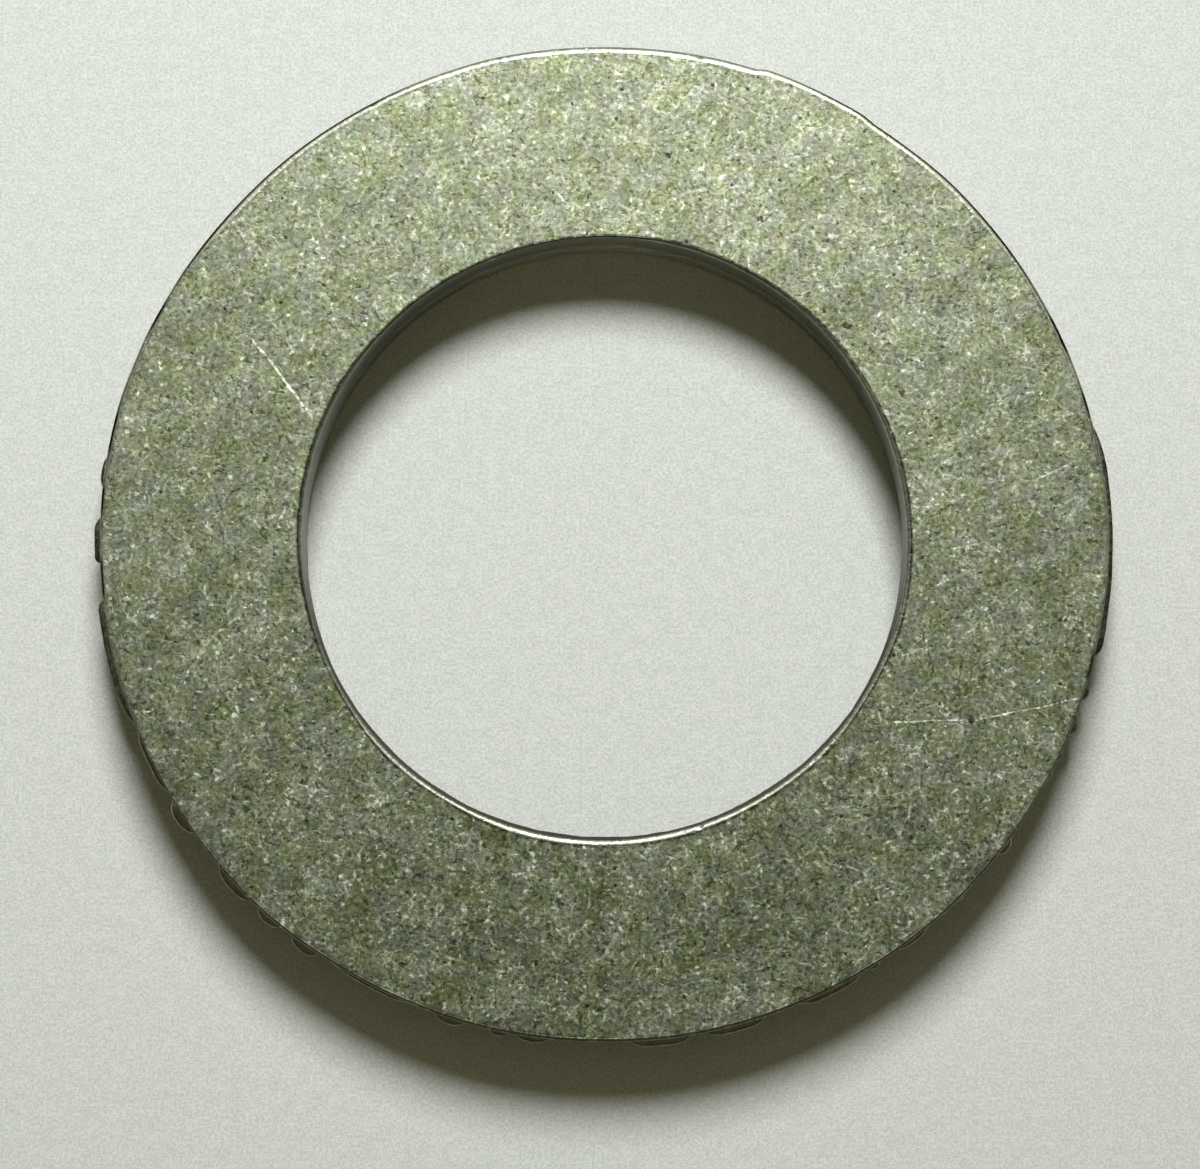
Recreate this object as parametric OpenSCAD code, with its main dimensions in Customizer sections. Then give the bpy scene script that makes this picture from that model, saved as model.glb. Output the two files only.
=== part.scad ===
// Flat washer, blanked and pierced from one piece of steel plate.
// Millimetres. The origin is the centre of the lower face and +Z runs up
// along the bore. The upper face has the two rolled edges that the die
// leaves, and the lower face is the break-out side.

/* [Washer] */
// Diameter of the rim at its smooth sheared band
rim_d = 28; // [26:0.5:34]
// Diameter of the bore
bore_d = 17; // [13:0.5:20]
// Thickness of the plate
thick = 2.5; // [2.2:0.1:4]

/* [Edges] */
// Radius of the rolled edge of the rim, on the upper face
rim_roll = 0.2; // [0.1:0.05:0.4]
// Radius of the rolled edge of the bore, on the upper face
bore_roll = 0.15; // [0.1:0.05:0.4]
// Chamfer where the bore and the rim break out at the lower face
break_out = 0.1; // [0.05:0.05:0.2]

/* [Broken band of the rim] */
// Height of the smooth sheared band below the rolled edge
shear_h = 0.6; // [0.2:0.1:1]
// How far the broken band stands out past the sheared band
flare = 0.1; // [0.02:0.02:0.12]
// How far the tallest ragged lobe stands out past the sheared band
lobe_out = 0.5; // [0.2:0.05:0.6]

/* [Hidden] */
$fn = 180;

rim_r = rim_d / 2;
bore_r = bore_d / 2;
band_r = rim_r + flare;
shear_z = thick - rim_roll - shear_h;

// Ragged lobes of the broken band: middle angle, half of the angle that
// the lobe spans, its height as a share of lobe_out, and the heights of
// its lower and upper ends as shares of shear_z
LOBES = [
    [0, 14, 0.9, 0.15, 0.95],
    [65, 8, 0.7, 0.3, 0.85],
    [172, 3, 0.9, 0.3, 0.95],
    [180, 4, 1, 0.2, 0.95],
    [193, 6.5, 0.95, 0.15, 0.95],
    [214, 4.5, 0.95, 0.25, 0.9],
    [223, 3.5, 0.9, 0.2, 0.9],
    [233, 5, 0.8, 0.3, 0.9],
    [252, 3.5, 0.75, 0.25, 0.8],
    [262, 4, 0.65, 0.3, 0.85],
    [277, 4.5, 0.65, 0.25, 0.8],
    [285, 4, 0.65, 0.3, 0.85],
    [297, 5, 0.65, 0.2, 0.8],
    [308, 3.5, 0.6, 0.3, 0.8],
    [323, 3, 0.7, 0.25, 0.85],
    [335, 4, 0.8, 0.2, 0.85],
];

// Radius of the round lobe that stands h out past the sheared band and
// meets it half an angle to each side
function lobe_r(h, half) = 1 / (2 * h / pow(rim_r * sin(half), 2) + 1 / rim_r);

// Half of the washer's cross-section, with the radius along X and the
// height along Y
module section() {
    difference() {
        union() {
            // smooth sheared band and the body of the ring
            translate([bore_r, 0]) square([rim_r - bore_r, thick]);
            // broken band, sloping out below the sheared one
            polygon([
                [rim_r - 1, 0],
                [band_r - break_out, 0],
                [band_r, break_out],
                [band_r, shear_z - flare],
                [rim_r, shear_z],
                [rim_r - 1, shear_z],
            ]);
        }
        // rolled edge of the rim
        difference() {
            translate([rim_r - rim_roll, thick - rim_roll])
                square(rim_roll + 1);
            translate([rim_r - rim_roll, thick - rim_roll])
                circle(r = rim_roll);
        }
        // rolled edge of the bore
        difference() {
            translate([bore_r - 1, thick - bore_roll])
                square([bore_roll + 1, bore_roll + 1]);
            translate([bore_r + bore_roll, thick - bore_roll])
                circle(r = bore_roll);
        }
        // break-out chamfer of the bore
        polygon([
            [bore_r - 1, -1],
            [bore_r + break_out + 1, -1],
            [bore_r - 1, break_out + 1],
        ]);
    }
}

// One ragged lobe of the broken band
module lobe(at, half, share, low, high) {
    h = share * lobe_out;
    r = lobe_r(h, half);
    rotate([0, 0, at])
        translate([rim_r + h - r, 0, low * shear_z])
            cylinder(r = r, h = (high - low) * shear_z);
}

// The washer is one solid piece of plate
module washer() {
    color([0.52, 0.53, 0.48])
        difference() {
            union() {
                rotate_extrude() section();
                intersection() {
                    for (l = LOBES) lobe(l[0], l[1], l[2], l[3], l[4]);
                    // the lobes belong to the rim only
                    difference() {
                        cylinder(r = rim_r + 2, h = thick);
                        translate([0, 0, -1])
                            cylinder(r = rim_r - 0.5, h = thick + 2);
                    }
                }
            }
        }
}

washer();
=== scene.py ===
import math

import bpy
import numpy as np
from mathutils import Euler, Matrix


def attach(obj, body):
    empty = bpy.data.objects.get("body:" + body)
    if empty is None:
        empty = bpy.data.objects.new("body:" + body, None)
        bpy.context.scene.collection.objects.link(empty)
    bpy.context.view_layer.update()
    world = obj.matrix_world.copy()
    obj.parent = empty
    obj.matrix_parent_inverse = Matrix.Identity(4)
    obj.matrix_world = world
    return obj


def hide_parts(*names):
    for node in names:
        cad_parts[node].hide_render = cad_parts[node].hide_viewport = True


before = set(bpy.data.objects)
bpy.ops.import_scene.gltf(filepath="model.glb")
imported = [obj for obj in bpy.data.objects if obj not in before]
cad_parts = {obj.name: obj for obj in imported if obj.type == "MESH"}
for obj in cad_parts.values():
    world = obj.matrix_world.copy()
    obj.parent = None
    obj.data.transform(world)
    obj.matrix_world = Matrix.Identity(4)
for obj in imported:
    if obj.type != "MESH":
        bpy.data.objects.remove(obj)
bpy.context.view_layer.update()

TAU = 2 * math.pi
MM = 0.001

# ---------------------------------------------------------------- camera
# 80 mm above the floor, a little to the -Y side, tipped 3.5 degrees.
cam_data = bpy.data.cameras.new("camera")
cam_data.sensor_fit = "HORIZONTAL"
cam_data.sensor_width = 36.0
cam_data.lens = 82.9
cam_data.clip_start = 0.001
cam_data.clip_end = 10.0
cam = bpy.data.objects.new("camera", cam_data)
cam.location = (0.02 * MM, -6.12 * MM, 80.0 * MM)
cam.rotation_euler = Euler((math.radians(3.527), math.radians(0.103), 0.0), "XYZ")
bpy.context.scene.collection.objects.link(cam)
bpy.context.scene.camera = cam

# ---------------------------------------------------------------- shape
# The cross-section is a closed loop of rings, and each ring is a closed
# loop of points round the bore's axis. All lengths here are in mm.
RIM, BORE, THICK = 14.0, 8.5, 2.5
N = 1000
theta = np.arange(N) * TAU / N
deg = np.degrees(theta)


def smooth(x):
    x = np.clip(x, 0.0, 1.0)
    return x * x * (3 - 2 * x)


def wave(seed, ks, amp, th=theta):
    """A smooth closed curve round the ring: one cosine for each count in ks, of random size and phase."""
    r = np.random.default_rng(seed)
    out = np.zeros_like(th)
    for k in ks:
        out += r.normal() * np.cos(k * th + r.uniform(0, TAU))
    return out * amp / math.sqrt(len(ks) / 2)


def through(*knots):
    """A smooth closed curve round the ring through (degrees, value) knots in rising order."""
    a = np.array([k[0] for k in knots], float)
    v = np.array([k[1] for k in knots], float)
    a = np.concatenate([[a[-1] - 360], a, [a[0] + 360]])
    v = np.concatenate([[v[-1]], v, [v[0]]])
    i = np.clip(np.searchsorted(a, deg, side="right") - 1, 0, len(a) - 2)
    return v[i] + (v[i + 1] - v[i]) * smooth((deg - a[i]) / (a[i + 1] - a[i]))


def value_noise(u, v, seed, nu, nv=64):
    """Value noise, closed in u over nu cells, with v in cells. From -1 to 1."""
    g = np.random.default_rng(seed).random((nu, nv))
    iu, iv = np.floor(u).astype(int), np.floor(v).astype(int)
    fu, fv = u - iu, v - iv
    fu, fv = fu * fu * (3 - 2 * fu), fv * fv * (3 - 2 * fv)
    a, b = g[iu % nu, iv % nv], g[(iu + 1) % nu, iv % nv]
    c, d = g[iu % nu, (iv + 1) % nv], g[(iu + 1) % nu, (iv + 1) % nv]
    return 2 * ((a * (1 - fu) + b * fu) * (1 - fv) + (c * (1 - fu) + d * fu) * fv) - 1


def ring_noise(th, z, cell, seed, octaves=3, gain=0.55):
    """Several octaves of value noise on the rim's wall: cell is the first octave's size in mm."""
    out, amp, total = 0.0, 1.0, 0.0
    for i in range(octaves):
        c = cell / 2**i
        nu = max(int(round(TAU * RIM / c)), 8)
        out = out + amp * value_noise(th / TAU * nu, z / c + 7.3 * i, seed + i, nu)
        total += amp
        amp *= gain
    return out / total


# Ragged lobes of the rim's broken band: first and last angle in degrees,
# the radius that it reaches in mm, the height of its upper ledge and of its
# lower end in mm, and over how many degrees its two ends rise and fall.
LOBES = (
    (-13.8, 14.8, 14.475, 1.64, 0.25, 2.0, 8.0),
    (-18.9, -16.2, 14.46, 1.45, 0.50, 1.3, 1.3),
    (-23.2, -20.0, 14.48, 1.50, 0.40, 1.6, 1.6),
    (-26.5, -24.5, 14.40, 1.40, 0.50, 1.0, 1.0),
    (-28.9, -27.1, 14.39, 1.38, 0.55, 0.9, 0.9),
    (-39.1, -36.0, 14.44, 1.50, 0.45, 1.5, 1.5),
    (-46.3, -44.2, 14.365, 1.40, 0.55, 1.0, 1.0),
    (-48.6, -46.6, 14.36, 1.40, 0.60, 1.0, 1.0),
    (-54.9, -49.8, 14.40, 1.46, 0.35, 2.4, 2.2),
    (-58.7, -56.7, 14.38, 1.42, 0.50, 1.0, 1.0),
    (-67.6, -59.0, 14.405, 1.50, 0.30, 3.2, 2.6),
    (-78.6, -71.0, 14.42, 1.46, 0.35, 2.8, 2.4),
    (-87.1, -79.8, 14.42, 1.48, 0.30, 2.6, 2.8),
    (-100.5, -96.1, 14.375, 1.44, 0.40, 2.0, 2.2),
    (-103.4, -100.9, 14.37, 1.42, 0.50, 1.2, 1.2),
    (-109.8, -105.9, 14.405, 1.46, 0.40, 1.8, 1.8),
    (-124.0, -112.0, 14.34, 1.40, 0.30, 5.0, 4.5),
    (-128.5, -124.2, 14.48, 1.54, 0.40, 2.1, 2.1),
    (-133.5, -129.5, 14.49, 1.54, 0.35, 1.9, 2.0),
    (-140.1, -134.0, 14.51, 1.58, 0.30, 2.9, 2.6),
    (-149.2, -144.0, 14.52, 1.60, 0.30, 2.4, 2.4),
    (-158.5, -149.3, 14.44, 1.45, 0.30, 3.5, 3.0),
    (-173.4, -157.5, 14.53, 1.64, 0.25, 1.6, 6.0),
    (177.0, 182.9, 14.52, 1.66, 0.30, 2.2, 0.9),
    (169.9, 174.6, 14.48, 1.62, 0.35, 2.2, 2.0),
    (155.0, 166.0, 14.32, 1.30, 0.30, 4.5, 4.5),
    (143.0, 152.0, 14.26, 1.10, 0.30, 4.0, 3.5),
    (124.0, 137.0, 14.22, 1.30, 0.40, 4.0, 5.0),
    (106.0, 118.0, 14.16, 1.20, 0.30, 3.5, 4.5),
    (86.0, 99.0, 14.17, 1.35, 0.30, 4.0, 3.5),
    (57.5, 72.0, 14.28, 1.60, 0.40, 3.5, 2.5),
    (41.0, 51.0, 14.24, 1.20, 0.30, 3.5, 3.5),
    (26.0, 36.0, 14.29, 1.30, 0.30, 3.5, 2.5),
    (16.5, 22.0, 14.31, 1.40, 0.30, 2.2, 2.2),
)

# the smooth sheared band: a little wider at the two sides
rim_r = through(
    (0, 14.20), (12, 14.150), (30, 14.098), (45, 14.085), (54, 14.040), (56.4, 14.040), (58.9, 14.108), (70.6, 14.125),
    (72.2, 14.04), (90, 14.0), (105, 14.03), (120, 14.03), (135, 14.058), (150, 14.105), (158, 14.165), (165, 14.22),
    (173, 14.215), (180, 14.19), (187, 14.19), (195, 14.20), (210, 14.15), (225, 14.185), (240, 14.13), (255, 14.125), (270, 14.11), (285, 14.13),
    (300, 14.15), (315, 14.175), (330, 14.15), (345, 14.155),
) + wave(11, (9, 14, 23, 31), 0.004)
# how far in and down the die has rolled the rim's and the bore's edges
roll_w = through(
    (0, 0.045), (15, 0.11), (30, 0.13), (45, 0.19), (60, 0.18), (75, 0.22), (95, 0.22), (105, 0.20), (120, 0.18), (135, 0.19),
    (150, 0.09), (165, 0.11), (180, 0.06), (205, 0.055), (225, 0.08), (255, 0.10), (270, 0.11), (285, 0.10), (315, 0.09), (335, 0.07),
    (345, 0.06),
) + wave(14, (7, 12, 19), 0.004)
roll_h = 0.012 + 0.52 * roll_w + wave(15, (5, 9, 16), 0.004)
bore_edge = 8.655 + wave(12, (2, 3, 4), 0.006) + wave(16, (1, 2, 3, 5), 0.010) + through(
    (0, -0.03), (15, -0.02), (30, -0.045), (45, -0.015), (60, -0.05), (75, -0.045), (88, -0.11), (105, -0.12),
    (120, -0.10), (135, -0.08), (150, -0.025), (165, -0.015), (180, 0.0), (195, -0.03), (210, -0.035), (225, 0.025),
    (240, -0.02), (255, 0.04), (270, 0.025), (285, 0.033), (300, 0.005), (315, 0.03), (330, -0.03), (345, 0.015),
)
bore_r = 8.51 + 0.015 * np.cos(theta - math.pi) + wave(12, (2, 3, 4), 0.005) + through(
    (0, 0.015), (20, 0.0), (180, 0.0), (225, 0.02), (240, 0.01), (255, 0.0), (285, 0.0), (300, 0.02), (315, 0.04), (330, 0.035), (345, 0.05)
)
# how much further out the bore's lower end has broken away
flare = through(
    (0, 0.13), (15, 0.09), (30, 0.05), (60, 0.02), (120, 0.02), (150, 0.05), (165, 0.075), (180, 0.09), (195, 0.13),
    (210, 0.10), (225, 0.03), (240, 0.0), (270, -0.03), (285, 0.01), (300, 0.0), (315, 0.03), (330, 0.09), (345, 0.205),
)
bore_w = np.maximum(bore_edge - bore_r, 0.03)
bore_h = 0.035 + 0.30 * bore_w + wave(17, (1, 2, 4), 0.004)


def nick(th, at, half, depth):
    d = np.abs((th - math.radians(at) + math.pi) % TAU - math.pi)
    return depth * np.exp(-((d / math.radians(half)) ** 2))


rim_nicks = sum(
    nick(theta, a, h, d)
    for a, h, d in (
        (78.6, 0.5, 0.05),
        (-38, 0.5, 0.03),
        (201, 0.6, 0.03),
        (118, 0.45, 0.03),
        (23, 0.5, 0.03),
        (-112, 0.6, 0.025),
    )
)
bore_nicks = sum(
    nick(theta, a, h, d)
    for a, h, d in ((-71.8, 0.55, 0.05), (-140, 0.8, 0.02), (35, 0.8, 0.03), (112, 0.7, 0.02))
)

# the ledge along the top of the broken band, from the lobes
ledge_out = 0.035 + 0.02 * ring_noise(theta, 0.0 * theta, 1.6, 61, 3)
ledge_z = 1.34 + wave(13, (3, 5, 8, 13, 21), 0.07)
low_z = np.full(N, 0.30)
raised = np.zeros(N)
for first, last, reach, top, low, ramp_a, ramp_b in LOBES:
    d = (deg - first) % 360
    span = last - first
    rise, fall = np.clip(1 - d / ramp_a, 0, 1), np.clip(1 - (span - d) / ramp_b, 0, 1)
    up = np.where(d <= span, np.clip((1 - rise**2.4) * (1 - fall**2.4), 0, 1) ** 0.6, 0.0)
    out_by = np.maximum(reach - rim_r, 0.03) * up
    ledge_out = np.where(out_by > ledge_out, out_by, ledge_out)
    ledge_z = np.where(up > 0, ledge_z + (top - ledge_z) * up, ledge_z)
    low_z = np.where(up > 0, low_z + (low - low_z) * up, low_z)
    raised = np.maximum(raised, up)
ledge_out = ledge_out * (1 + 0.05 * ring_noise(theta, 0.0 * theta + 3.1, 0.5, 71, 2))
# the lobes on the -Y side are hollow behind a raised lip, the others slope down
hollow = smooth((-np.sin(theta) - 0.22) / 0.2)
lip = np.minimum(0.065, 0.42 * ledge_out)
ledge_drop = ledge_out * (0.16 - 0.10 * hollow)

rings = []  # each ring: radius, height, then the masks
MASKS = ("roll", "steep", "shear", "ledge", "broken", "edge", "bore", "lip", "wear", "dull", "foot")


def add(r, z, **masks):
    o = np.ones(N)
    rings.append([np.asarray(x) * o for x in (r, z, *(masks.get(m, 0.0) for m in MASKS))])


# painted light and shade: the bore's wall is made paler on the +Y side, where it lies in shade, and darker on the -Y
# side, where it faces the lamp
bore_painted_light = through((0, 0.18), (40, 0.5), (90, 1.0), (140, 0.5), (180, 0.24), (225, 0.08), (270, 0.0), (315, 0.08))
# painted highlight: how much brighter the rim's rolled edge is made on the upper arc, either side of the top, where it
# catches the lamp
rim_roll_painted_highlight = through((0, 0.0), (30, 0.5), (45, 0.8), (58, 1.0), (72, 0.3), (80, 0.0), (100, 0.0), (115, 0.3), (135, 1.0), (150, 0.5), (165, 0.0), (180, 0.0))
# the bore's wall is matte on the -Y side, where it faces the lamp; its rolled edge is painted dark elsewhere, where it
# lies in shade: painted shade
dull_side = smooth((-np.sin(theta) + 0.05) / 0.45)
bore_roll_painted_shade = through(
    (0, 0.55), (15, 0.6), (30, 0.3), (45, 0.8), (60, 0.85), (120, 0.85), (165, 0.85), (195, 0.8), (210, 0.15), (225, 0.0),
    (330, 0.0), (345, 0.3),
)
# lower face, from the bore outwards
lo_in = bore_r + flare + 0.03 + wave(21, (5, 9, 14), 0.008)
lo_out = rim_r + 0.02 + wave(22, (4, 7, 12, 19), 0.02)
for f in np.linspace(0, 1, 7):
    add(lo_in + (lo_out - lo_in) * f, 0.0)
# broken band of the rim, up to the lip of its ledge
lip_z = ledge_z - ledge_drop - lip
for v in np.linspace(0.03, 1, 27):
    z = 0.03 + (lip_z - 0.03) * v
    grain = ring_noise(theta, z, 0.75, 31, 4, 0.62)
    ease = smooth(np.asarray(v / 0.12)) * (1 - smooth(np.asarray((v - 0.84) / 0.16)))
    base = 0.055 + 0.035 * np.sin(v * math.pi)
    cling = smooth((z - low_z) / 0.22) * (1 - 0.30 * smooth((lip_z - z) / 1.1))
    stand = base * (1 - cling) + np.maximum(ledge_out, base * (1 - smooth(np.asarray((v - 0.8) / 0.2)))) * cling
    add(rim_r + stand * smooth(np.asarray(v / 0.08)) + ease * grain * 0.038, z, broken=1)
# ledge of the broken band, from its lip inwards; on the -Y side the lip carries a painted highlight
for f in (75, 50, 25, 5):
    a = math.radians(f)
    add(
        rim_r + ledge_out - lip * (1 - math.sin(a)),
        ledge_z - ledge_drop - lip * (1 - math.cos(a)),
        ledge=0.25 * (1 - f / 90) * (1 - hollow) + 0.6 * hollow,
        broken=1 - 0.6 * hollow,
        lip=hollow * raised * (0.45, 0.9, 1.0, 0.8)[(75, 50, 25, 5).index(f)],
    )
for f in (0.85, 0.62, 0.36, 0.12):
    bumps = 0.012 * ring_noise(theta, ledge_out * f * 3 + 9.0, 0.45, 81, 3) * math.sin(f * math.pi)
    dip = 0.010 * math.sin(f * math.pi) ** 0.7 * hollow
    start = 0.12 + 0.35 * nick(theta, -163, 9, 1.0)
    plain = np.maximum(1 - smooth((f - start) / 0.88), 0.9 * hollow)
    add(
        rim_r + (ledge_out - lip) * f,
        ledge_z - ledge_drop * f**1.7 + (bumps - dip) * raised,
        ledge=plain,
        broken=1 - plain,
        lip=hollow * raised * (0.25 if f > 0.8 else 0.0),
        dull=hollow,
    )
# smooth sheared band
for v in (0.0, 0.3, 0.65, 1.0):
    z = ledge_z + (THICK - roll_h - ledge_z) * v
    add(rim_r + 0.006 * (1 - v), z, shear=1)
# rolled edge of the rim, painted darker where it turns down into the wall: painted shade, a dark outline on the sides
# that is weaker at the top, where the edge faces the lamp, and a fade into the shadow on the -Y side
plain_side = 1 - raised * (1 - hollow) * smooth((np.abs(np.cos(theta)) - 0.80) / 0.12)
for v in np.linspace(0.12, 1, 9):
    a = v * math.pi / 2
    inwards = roll_w * (1 - np.cos(a))
    r = rim_r - inwards - rim_nicks * np.sin(2 * a)
    z = THICK - roll_h + roll_h * np.sin(a)
    wide = 0.038 + 0.022 * smooth((np.abs(np.cos(theta)) - 0.68) / 0.2)
    outline = (1 - smooth((inwards - wide) / 0.05)) * plain_side * (1 - 0.80 * smooth((np.sin(theta) - 0.86) / 0.10))
    steep = np.maximum(outline * (1 - hollow), 0.42 * hollow)
    add(r, z, roll=1, steep=steep, wear=rim_roll_painted_highlight, edge=smooth(np.asarray((v - 0.75) / 0.25)))
# upper face, from the rim inwards
up_out = rim_r - roll_w
up_in = bore_r + bore_w
add(up_out - 0.03, THICK, edge=1)
add(up_out - 0.08, THICK)
FACE = 17
for v in np.linspace(0, 1, FACE + 2)[1:-1]:
    add(up_out + (up_in - up_out) * v, THICK)
add(up_in + 0.065, THICK, bore=1)
add(up_in + 0.022, THICK, edge=1, bore=1)
# rolled edge of the bore
for v in np.linspace(0, 0.9, 8):
    a = (1 - v) * math.pi / 2
    r = bore_r + bore_w * (1 - np.cos(a)) + bore_nicks * np.sin(2 * a)
    z = THICK - bore_h + bore_h * np.sin(a)
    line = 1 - smooth((up_in - r - 0.030) / 0.045)
    add(r, z, roll=1, bore=1, steep=bore_roll_painted_shade * line, wear=bore_painted_light, edge=smooth(np.asarray((0.25 - v) / 0.25)))
# bore wall: the smooth band, then the broken one that opens downwards
bore_shear = 1.15 + wave(41, (3, 5, 9), 0.08) + 0.22 * ring_noise(theta, 0.0 * theta, 2.4, 91, 4, 0.6)
for v in np.linspace(0, 1, 4):
    z = (THICK - bore_h) + (bore_shear - THICK + bore_h) * v
    add(bore_r, z, shear=1, bore=1, wear=bore_painted_light, dull=dull_side)
for v in np.linspace(0.1, 1, 7):
    z = bore_shear + (0.015 - bore_shear) * v
    grain = ring_noise(theta * 1.0, z, 0.7, 51, 3, 0.6)
    add(bore_r + flare * v + 0.02 * grain * smooth(np.asarray(v / 0.2)), z, broken=1, bore=1, wear=bore_painted_light, dull=dull_side, foot=v)

M = len(rings)
R = np.array(rings)  # ring, channel, point
r, z = R[:, 0], R[:, 1]
x, y = r * np.cos(theta), r * np.sin(theta)

# shallow unevenness and dings of the tumbled faces
up = R[:, 1] >= THICK - 1e-9
rng = np.random.default_rng(77)
waves = np.zeros_like(x)
for _ in range(40):
    k = rng.normal(size=2)
    k *= rng.uniform(0.8, 3.2) / np.linalg.norm(k)
    waves += np.cos(k[0] * x + k[1] * y + rng.uniform(0, TAU))
dz = -0.003 - 0.0008 * waves / math.sqrt(20)
for _ in range(46):
    rad, a = math.sqrt(rng.uniform(9.0**2, 13.6**2)), rng.uniform(0, TAU)
    size, deep = rng.uniform(0.22, 0.36), rng.uniform(0.003, 0.010)
    d2 = (x - rad * math.cos(a)) ** 2 + (y - rad * math.sin(a)) ** 2
    dz -= deep * np.exp(-d2 / size**2)
z = np.where(up, np.minimum(z + np.maximum(dz, -0.03), THICK), z)

co = np.stack([x, y, z], -1).reshape(-1, 3) * MM
i, j = np.meshgrid(np.arange(M), np.arange(N), indexing="ij")
i2, j2 = (i + 1) % M, (j + 1) % N
quads = np.stack([i * N + j, i * N + j2, i2 * N + j2, i2 * N + j], -1).reshape(-1, 4)

mesh = bpy.data.meshes.new("washer_ring")
mesh.from_pydata(co.tolist(), [], quads.tolist())
mesh.validate()
for n, name in enumerate(MASKS):
    layer = mesh.attributes.new(name, "FLOAT", "POINT")
    layer.data.foreach_set("value", R[:, 2 + n].reshape(-1).astype(np.float32))
for p in mesh.polygons:
    p.use_smooth = True
mesh.update()
ring = bpy.data.objects.new("washer_ring", mesh)
bpy.context.scene.collection.objects.link(ring)
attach(ring, "root")
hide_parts("washer")


# ---------------------------------------------------------------- nodes
class Tree:
    """Short names for building a node tree."""

    def __init__(self, tree):
        self.nt = tree
        tree.nodes.clear()

    def new(self, kind, **kw):
        n = self.nt.nodes.new(kind)
        for k, v in kw.items():
            setattr(n, k, v)
        return n

    def put(self, socket, value):
        if isinstance(value, bpy.types.NodeSocket):
            self.nt.links.new(value, socket)
        elif value is not None:
            socket.default_value = value

    def m(self, op, a, b=None, c=None, clamp=False):
        n = self.new("ShaderNodeMath", operation=op, use_clamp=clamp)
        for s, v in zip(n.inputs, (a, b, c)):
            self.put(s, v)
        return n.outputs[0]

    def total(self, first, *terms):
        """first, plus each value times its weight."""
        out = first
        for value, weight in terms:
            out = self.m("MULTIPLY_ADD", value, weight, out)
        return out

    def v(self, op, a, b=None, scale=None):
        n = self.new("ShaderNodeVectorMath", operation=op)
        self.put(n.inputs[0], a)
        if b is not None:
            self.put(n.inputs[1], b)
        if scale is not None:
            self.put(n.inputs["Scale"], scale)
        return n.outputs["Value"] if op in ("LENGTH", "DOT_PRODUCT", "DISTANCE") else n.outputs[0]

    def noise(self, vec, scale, detail=2.0, rough=0.5, dist=0.0, move=None):
        if move is not None:
            vec = self.v("ADD", vec, move)
        n = self.new("ShaderNodeTexNoise", noise_dimensions="3D")
        self.put(n.inputs["Vector"], vec)
        n.inputs["Scale"].default_value = scale
        n.inputs["Detail"].default_value = detail
        n.inputs["Roughness"].default_value = rough
        n.inputs["Distortion"].default_value = dist
        return n.outputs[0]

    def ramp(self, kind, x, lo, hi, a, b):
        n = self.new("ShaderNodeMapRange", interpolation_type=kind)
        self.put(n.inputs["Value"], x)
        for s, v in zip(n.inputs[1:5], (lo, hi, a, b)):
            self.put(s, v)
        return n.outputs[0]

    def step(self, x, lo, hi, a=0.0, b=1.0):
        return self.ramp("SMOOTHSTEP", x, lo, hi, a, b)

    def line(self, x, lo, hi, a=0.0, b=1.0):
        return self.ramp("LINEAR", x, lo, hi, a, b)

    def mix(self, fac, a, b, blend="MIX"):
        n = self.new("ShaderNodeMix", data_type="RGBA", blend_type=blend)
        self.put(n.inputs[0], fac)
        self.put(n.inputs[6], a)
        self.put(n.inputs[7], b)
        return n.outputs[2]

    def times(self, colour, gain):
        n = self.new("ShaderNodeVectorMath", operation="SCALE")
        self.put(n.inputs[0], colour)
        self.put(n.inputs["Scale"], gain)
        return n.outputs[0]

    def attr(self, name):
        return self.new("ShaderNodeAttribute", attribute_name=name).outputs["Fac"]

    def hairs(self, vec, scale, width, move, keep_scale, keep_lo, keep_hi):
        """Short curved hairlines: the thin contours of one noise, kept where another is high."""
        a = self.noise(vec, scale, 1.0, 0.5, 0.4, move)
        near = self.step(self.m("ABSOLUTE", self.m("SUBTRACT", a, 0.5)), width * 0.3, width, 1.0, 0.0)
        keep = self.step(self.noise(vec, keep_scale, 1.0, 0.5, 0.0, (move[1], move[0], 5.0)), keep_lo, keep_hi)
        return self.m("MULTIPLY", near, keep)

    def flecks(self, vec, cell, length, width, seed, share):
        """One short straight fleck in some of the cells of a flat random grid: cell, length and width in mm, share from 0 to 1 of the cells that hold one."""
        vec = self.v("ADD", vec, (seed * 3.7, seed * 1.9, 0.0))
        n = self.new("ShaderNodeTexVoronoi", voronoi_dimensions="2D", feature="F1")
        self.put(n.inputs["Vector"], vec)
        n.inputs["Scale"].default_value = 1.0 / cell
        n.inputs["Randomness"].default_value = 1.0
        sep = self.new("ShaderNodeSeparateColor")
        self.put(sep.inputs[0], n.outputs["Color"])
        rnd_a, rnd_b, rnd_c = sep.outputs
        d = self.v("SUBTRACT", vec, n.outputs["Position"])
        s = self.new("ShaderNodeSeparateXYZ")
        self.put(s.inputs[0], d)
        angle = self.m("MULTIPLY", rnd_a, TAU)
        ca, sa = self.m("COSINE", angle), self.m("SINE", angle)
        u = self.m("ADD", self.m("MULTIPLY", s.outputs[0], ca), self.m("MULTIPLY", s.outputs[1], sa))
        w = self.m("SUBTRACT", self.m("MULTIPLY", s.outputs[1], ca), self.m("MULTIPLY", s.outputs[0], sa))
        size = self.line(rnd_b, 0, 1, 0.35, 1.0)
        along = self.step(self.m("DIVIDE", self.m("ABSOLUTE", u), self.m("MULTIPLY", size, length / 2)), 0.45, 1.0, 1.0, 0.0)
        across = self.step(self.m("ABSOLUTE", w), width * 0.2, width * 0.6, 1.0, 0.0)
        on = self.m("LESS_THAN", rnd_c, share)
        return self.m("MULTIPLY", self.m("MULTIPLY", along, across), on)

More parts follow.
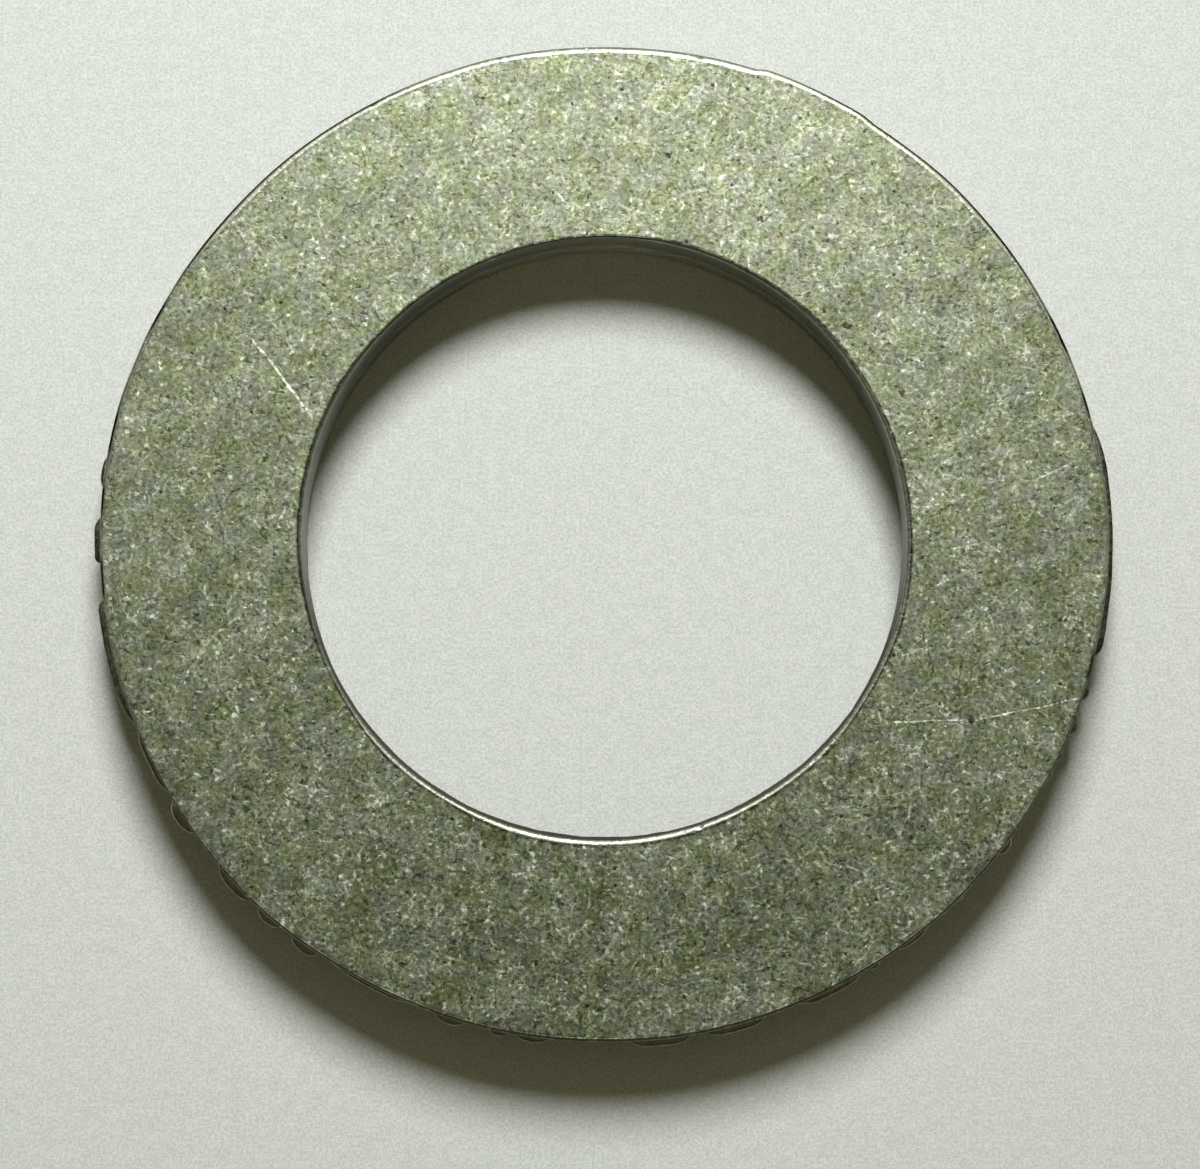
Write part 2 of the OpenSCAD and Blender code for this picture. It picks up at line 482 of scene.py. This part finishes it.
    def streak(self, vec, x0, y0, x1, y1, width, power):
        """One long, nearly straight scratch from one point to another, in mm."""
        lx, ly = x1 - x0, y1 - y0
        ln = math.hypot(lx, ly)
        ux, uy = lx / ln, ly / ln
        d = self.v("SUBTRACT", vec, (x0, y0, 0.0))
        u = self.v("DOT_PRODUCT", d, (ux, uy, 0.0))
        w = self.v("DOT_PRODUCT", d, (-uy, ux, 0.0))
        wob = self.m("MULTIPLY", self.m("SUBTRACT", self.noise(vec, 0.8, 1.0), 0.5), 0.12)
        w = self.m("ABSOLUTE", self.m("ADD", w, wob))
        ends = self.m("MULTIPLY", self.step(u, -0.1, 0.25), self.step(u, ln - 0.5, ln + 0.1, power, 0.0))
        return self.m("MULTIPLY", ends, self.step(w, width * 0.2, width * 0.65, 1.0, 0.0))


# ---------------------------------------------------------------- steel
steel = bpy.data.materials.new("tumbled_steel")
steel.use_nodes = True
t = Tree(steel.node_tree)
obj = t.new("ShaderNodeTexCoord").outputs["Object"]
P = t.v("SCALE", obj, scale=1000.0)  # millimetres
XY = t.v("MULTIPLY", P, (1.0, 1.0, 0.0))

roll, steep, shear, ledge, broken, edge, bore, lip, wear, dull, foot = (t.attr(n) for n in MASKS)
face = t.m("SUBTRACT", 1.0, t.m("ADD", t.m("ADD", shear, broken), roll), clamp=True)

# grain of the tumbled face, from a fiftieth of a millimetre up to several
fine = t.noise(P, 8.5, 3.0, 0.56, 0.35)
mid = t.noise(P, 2.2, 2.0, 0.6, 0.3)
patch = t.noise(P, 1.0, 1.0, 0.5, 0.2, (9.0, 4.0, 6.0))
cloud = t.noise(P, 0.42, 1.0, 0.5)
spots = t.step(t.noise(P, 7.6, 1.0, 0.5, 0.5, (17.0, 3.0, 1.0)), 0.60, 0.73)
specks = t.step(t.noise(P, 6.8, 1.0, 0.5, 0.5, (5.0, 23.0, 2.0)), 0.395, 0.30)
grit = t.step(t.noise(P, 12.0, 0.0, 0.5, 0.0, (2.0, 13.0, 8.0)), 0.36, 0.31)
# painted glints: small bright flecks put into the colour
glints = t.m("MAXIMUM", t.flecks(XY, 0.42, 0.16, 0.12, 1, 0.30), t.flecks(XY, 0.9, 0.55, 0.08, 2, 0.40))
glints = t.m("MULTIPLY", glints, t.line(t.noise(P, 6.0, 1.0), 0.35, 0.65, 0.3, 1.0))
glints = t.m("MAXIMUM", glints, t.flecks(XY, 1.5, 0.18, 0.15, 7, 0.60))
hairs = t.m("MAXIMUM", t.hairs(P, 1.4, 0.026, (3.0, 9.0, 0.0), 1.7, 0.50, 0.60), t.hairs(P, 2.5, 0.036, (13.0, 2.0, 0.0), 2.3, 0.52, 0.62))
hairs = t.m("MAXIMUM", hairs, t.hairs(P, 0.9, 0.016, (21.0, 33.0, 0.0), 1.5, 0.50, 0.58))
dark_hairs = t.m("MAXIMUM", t.hairs(P, 2.0, 0.030, (7.0, 19.0, 0.0), 2.2, 0.53, 0.64), t.hairs(P, 1.1, 0.017, (41.0, 27.0, 0.0), 1.3, 0.52, 0.60))
pits = t.flecks(XY, 0.9, 0.13, 0.11, 5, 0.35)
for px, py, size in ((6.86, 5.97, 0.13), (4.41, 9.03, 0.12), (8.40, 4.07, 0.10), (1.84, 10.86, 0.09), (10.30, -5.15, 0.12), (-9.6, 2.2, 0.08)):
    away = t.v("DISTANCE", XY, (px, py, 0.0))
    away = t.total(away, (fine, 0.22))
    pits = t.m("MAXIMUM", pits, t.step(away, 0.11 + size * 0.5, 0.11 + size, 1.0, 0.0))

# the longer scratches
marks = t.streak(XY, -9.98, 5.67, -8.15, 3.30, 0.085, 1.2)
for a in (
    (7.9, -5.20, 10.4, -5.13, 0.050, 0.7),
    (10.2, -5.17, 13.5, -4.50, 0.055, 0.9),
    (9.7, -0.35, 11.3, 0.0, 0.055, 0.5),
    (10.6, 2.1, 11.45, 2.45, 0.055, 0.5),
    (12.0, 1.55, 13.6, 2.35, 0.05, 0.45),
    (11.2, -1.75, 12.3, -1.05, 0.05, 0.4),
    (-12.1, 1.2, -10.9, 1.25, 0.05, 0.4),
    (-6.9, 10.0, -5.6, 10.35, 0.05, 0.4),
    (3.0, -11.2, 4.6, -10.9, 0.05, 0.35),
):
    marks = t.m("MAXIMUM", marks, t.streak(XY, *a))
marks = t.m("MULTIPLY", marks, t.line(t.noise(P, 5.0, 2.0, 0.6), 0.38, 0.6, 0.2, 1.0))

scores = 0.0
for a in (
    (8.81, -2.43, 9.27, -3.75, 0.055, 0.9),
    (10.06, -3.33, 9.91, -4.31, 0.055, 0.9),
    (11.38, -2.82, 11.69, -3.24, 0.055, 0.9),
    (-11.81, -4.81, -11.25, -4.25, 0.055, 0.9),
    (-11.19, -5.09, -10.72, -4.50, 0.055, 0.9),
    (3.91, 10.95, 3.77, 10.20, 0.055, 0.9),
):
    line = t.streak(XY, *a)
    scores = line if scores == 0.0 else t.m("MAXIMUM", scores, line)
scores = t.m("MULTIPLY", scores, t.line(t.noise(P, 4.0, 2.0, 0.6), 0.38, 0.6, 0.3, 1.0))

grain = t.total(
    -2.51,
    (fine, 2.55),
    (mid, 1.12),
    (patch, 0.62),
    (cloud, 0.50),
    (spots, 0.70),
    (specks, -0.75),
    (grit, -0.45),
    (glints, 0.95),
    (hairs, 0.50),
    (dark_hairs, -0.42),
    (pits, -1.1),
    (marks, 1.2),
    (scores, -0.8),
)
# painted light: the face's colour is made lighter towards +Y, where the lamp is, and darker towards -Y, and its grain
# weaker towards +Y
face_y_for_painted_light = t.new("ShaderNodeSeparateXYZ")
t.put(face_y_for_painted_light.inputs[0], P)
light = t.m("MULTIPLY_ADD", grain, t.line(face_y_for_painted_light.outputs[1], -11.0, 11.0, 1.13, 0.71), t.line(face_y_for_painted_light.outputs[1], -11.0, 11.0, -0.055, 0.06))
gain = t.m("EXPONENT", light)

# olive and violet-grey patches, paler where the metal shines
tone = t.noise(P, 1.3, 4.0, 0.62, 0.2, (31.0, 7.0, 3.0))
tint = t.noise(P, 2.1, 3.0, 0.62, 0.2, (11.0, 47.0, 3.0))
base = t.mix(t.step(tone, 0.36, 0.66), (0.2825, 0.320, 0.224, 1.0), (0.2825, 0.328, 0.141, 1.0))
base = t.mix(1.0, base, t.mix(t.step(tint, 0.34, 0.66), (1.068, 0.980, 1.050, 1.0), (0.932, 1.015, 0.950, 1.0)), "MULTIPLY")
base = t.mix(t.line(light, -0.70, 1.20, 0.0, 1.0), base, (0.303, 0.318, 0.288, 1.0))
face_col = t.times(base, gain)

# walls: fine drag lines down the sheared band, dark grain on the broken one
stretched = t.v("MULTIPLY", P, (1.0, 1.0, 0.05))
drag = t.noise(stretched, 9.0, 3.0, 0.6)
chips = t.noise(P, 5.5, 4.0, 0.64)
edge_dark_noise = t.step(t.noise(P, 5.0, 3.0, 0.6, 0.0, (2.0, 2.0, 8.0)), 0.42, 0.60)
shear_col = t.mix(t.step(drag, 0.35, 0.65), (0.12, 0.12, 0.102, 1), (0.25, 0.25, 0.222, 1))
broken_col = t.mix(t.step(chips, 0.35, 0.68), (0.055, 0.051, 0.041, 1), (0.155, 0.144, 0.116, 1))
# painted light and shade: the bore wall is pale where it lies in shade, on the +Y side, and dark where it faces the
# lamp, on the -Y side
bore_col = t.mix(wear, (0.060, 0.058, 0.048, 1), (0.36, 0.36, 0.31, 1))
# painted light: the lower part of the bore wall is made paler where it lies in shade, more so towards the paper
bore_col = t.times(bore_col, t.m("MULTIPLY_ADD", t.m("MULTIPLY", foot, wear), 1.0, 1.0))
bore_col = t.times(bore_col, t.total(0.55, (drag, 0.45), (chips, 0.45)))
wall = t.m("MULTIPLY", bore, t.m("ADD", shear, broken), clamp=True)
roll_col = t.mix(t.step(drag, 0.3, 0.7), (0.32, 0.33, 0.29, 1), (0.42, 0.43, 0.39, 1))
roll_col = t.mix((0.5), roll_col, t.times(face_col, 1.15))
# painted highlight: the rim's rolled edge is made brighter where it catches the lamp
roll_highlight_gain = t.m("MULTIPLY", wear, t.m("SUBTRACT", 1.0, bore))
roll_col = t.times(roll_col, t.m("MULTIPLY_ADD", roll_highlight_gain, 0.60, 1.0))
# painted shade: the steep outer part of the rolled edges gets a near-black colour
roll_col = t.mix(steep, roll_col, (0.028, 0.027, 0.022, 1))
# painted light: the ledges of the -Y lobes, which lie in the washer's shadow, get a fixed pale colour
ledge_col = t.times(t.mix(dull, face_col, (0.52, 0.54, 0.48, 1)), t.line(chips, 0.35, 0.65, 0.75, 1.15))
col = t.mix(roll, face_col, roll_col)
col = t.mix(shear, col, shear_col)
col = t.mix(ledge, col, ledge_col)
col = t.mix(broken, col, broken_col)
col = t.mix(wall, col, bore_col)
# painted highlight: the lips of the lobes on the -Y side, in the washer's shadow, get a paler tan colour
col = t.mix(lip, col, t.mix(t.step(chips, 0.35, 0.65), (0.26, 0.240, 0.205, 1), (0.42, 0.385, 0.335, 1)))
# darker in a thin, patchy line along the edges of the faces, more so at the bore
edge_darkening = t.m("MULTIPLY", edge, t.mix(bore, t.m("MULTIPLY", edge_dark_noise, 0.42), t.total(0.42, (edge_dark_noise, 0.42))))
col = t.times(col, t.m("SUBTRACT", 1.0, edge_darkening))

rough = t.line(fine, 0.3, 0.7, 0.585, 0.49)
rough = t.total(rough, (pits, 0.2))
roughness = t.mix(roll, rough, (0.42, 0.42, 0.42, 1))
roughness = t.mix(shear, roughness, (0.36, 0.36, 0.36, 1))
roughness = t.mix(ledge, roughness, (0.50, 0.50, 0.50, 1))
roughness = t.mix(broken, roughness, t.mix(t.step(chips, 0.4, 0.6), (0.45, 0.45, 0.45, 1), (0.62, 0.62, 0.62, 1)))
roughness = t.mix(lip, roughness, (0.38, 0.38, 0.38, 1))

flat = t.total(0.0, (fine, 0.0045), (mid, 0.006), (marks, -0.004), (scores, -0.004), (pits, -0.008), (specks, -0.003))
height = t.m("MULTIPLY", flat, t.m("MAXIMUM", t.m("MAXIMUM", face, ledge), roll))
height = t.total(height, (t.m("MULTIPLY", drag, 0.010), shear), (t.m("MULTIPLY", chips, 0.045), broken), (t.m("MULTIPLY", chips, 0.012), ledge))
bump = t.new("ShaderNodeBump")
bump.inputs["Strength"].default_value = 1.0
bump.inputs["Distance"].default_value = 0.001
t.put(bump.inputs["Height"], height)

bsdf = t.new("ShaderNodeBsdfPrincipled")
t.put(bsdf.inputs["Metallic"], t.total(1.0, (t.m("MULTIPLY", dull, wall), -1.0), (t.m("MAXIMUM", face, t.m("MULTIPLY", shear, t.m("SUBTRACT", 1.0, bore))), -0.12)))
bsdf.inputs["Specular IOR Level"].default_value = 0.0
grazing = t.mix(t.m("MULTIPLY", broken, t.m("SUBTRACT", 1.0, bore)), (1, 1, 1, 1), (0.55, 0.42, 0.26, 1))
# painted shade: the grazing reflection of the darkened steep edges is greyed
t.put(bsdf.inputs["Specular Tint"], t.mix(steep, grazing, (0.25, 0.25, 0.23, 1)))
t.put(bsdf.inputs["Base Color"], col)
t.put(bsdf.inputs["Roughness"], roughness)
t.put(bsdf.inputs["Normal"], bump.outputs[0])
out = t.new("ShaderNodeOutputMaterial")
t.put(out.inputs[0], bsdf.outputs[0])
mesh.materials.append(steel)

# ---------------------------------------------------------------- stage
paper = bpy.data.materials.new("paper")
paper.use_nodes = True
t = Tree(paper.node_tree)
obj = t.new("ShaderNodeTexCoord").outputs["Object"]
P = t.v("SCALE", obj, scale=1000.0)
fibre = t.total(-0.26, (t.noise(P, 11.0, 2.0, 0.6), 0.90), (t.noise(P, 22.0, 0.0), 0.32), (t.noise(P, 2.6, 3.0, 0.6), 0.30))
col = t.mix(t.step(fibre, 0.26, 0.74), (0.660, 0.702, 0.672, 1), (0.896, 0.938, 0.908, 1))
# the sheet glows faintly far from the washer, where the lamp doesn't reach
far = t.line(t.v("LENGTH", obj), 0.026, 0.092, 0.0, 0.46)
along = t.new("ShaderNodeSeparateXYZ")
t.put(along.inputs[0], obj)
far = t.m("MULTIPLY", far, t.step(along.outputs[1], 0.04, -0.06, 0.85, 1.22))
bsdf = t.new("ShaderNodeBsdfPrincipled")
bsdf.inputs["Roughness"].default_value = 0.9
bsdf.inputs["Specular IOR Level"].default_value = 0.2
bsdf.inputs["Emission Color"].default_value = (0.985, 1.0, 0.965, 1)
t.put(bsdf.inputs["Base Color"], col)
t.put(bsdf.inputs["Emission Strength"], far)
out = t.new("ShaderNodeOutputMaterial")
t.put(out.inputs[0], bsdf.outputs[0])

fm = bpy.data.meshes.new("floor")
s = 4.0
fm.from_pydata([(-s, -s, 0), (s, -s, 0), (s, s, 0), (-s, s, 0)], [], [(0, 1, 2, 3)])
fm.materials.append(paper)
floor = bpy.data.objects.new("floor", fm)
bpy.context.scene.collection.objects.link(floor)

# ---------------------------------------------------------------- light
# One soft lamp close above the +Y side, turned a little past the washer so
# that the paper is lit evenly.
KEY_UP, KEY_A, KEY_TURN = 0.107, 38.6, 41.0  # metres, degrees from the vertical, degrees
key = bpy.data.lights.new("key", "AREA")
key.shape = "ELLIPSE"
key.size = 0.0482
key.size_y = 0.0482 / math.cos(math.radians(KEY_TURN))
key.energy = 0.2480
key.color = (1.0, 0.995, 0.97)
key_o = bpy.data.objects.new("key", key)
key_o.location = (0.033 * KEY_UP, KEY_UP * math.tan(math.radians(KEY_A)), KEY_UP)
key_o.rotation_euler = Euler((-math.radians(KEY_A + KEY_TURN), 0.0, -math.radians(9.0)), "XYZ")
key_o.visible_camera = False
bpy.context.scene.collection.objects.link(key_o)

world = bpy.data.worlds.new("world")
bpy.context.scene.world = world
world.use_nodes = True
t = Tree(world.node_tree)
way = t.new("ShaderNodeTexCoord").outputs["Generated"]
sep = t.new("ShaderNodeSeparateXYZ")
t.put(sep.inputs[0], way)
# a pale room low down, a warm dim one on the -Y side, and a dark ceiling
horizon = t.mix(t.step(sep.outputs[1], -0.22, -0.45), (0.60, 0.62, 0.58, 1), (0.17, 0.105, 0.030, 1))
sky = t.mix(t.step(sep.outputs[2], 0.155, 0.28), horizon, (0.090, 0.084, 0.046, 1))
bg = t.new("ShaderNodeBackground")
t.put(bg.inputs["Color"], sky)
out = t.new("ShaderNodeOutputWorld")
t.put(out.inputs[0], bg.outputs[0])

bpy.context.scene.view_settings.view_transform = "Standard"
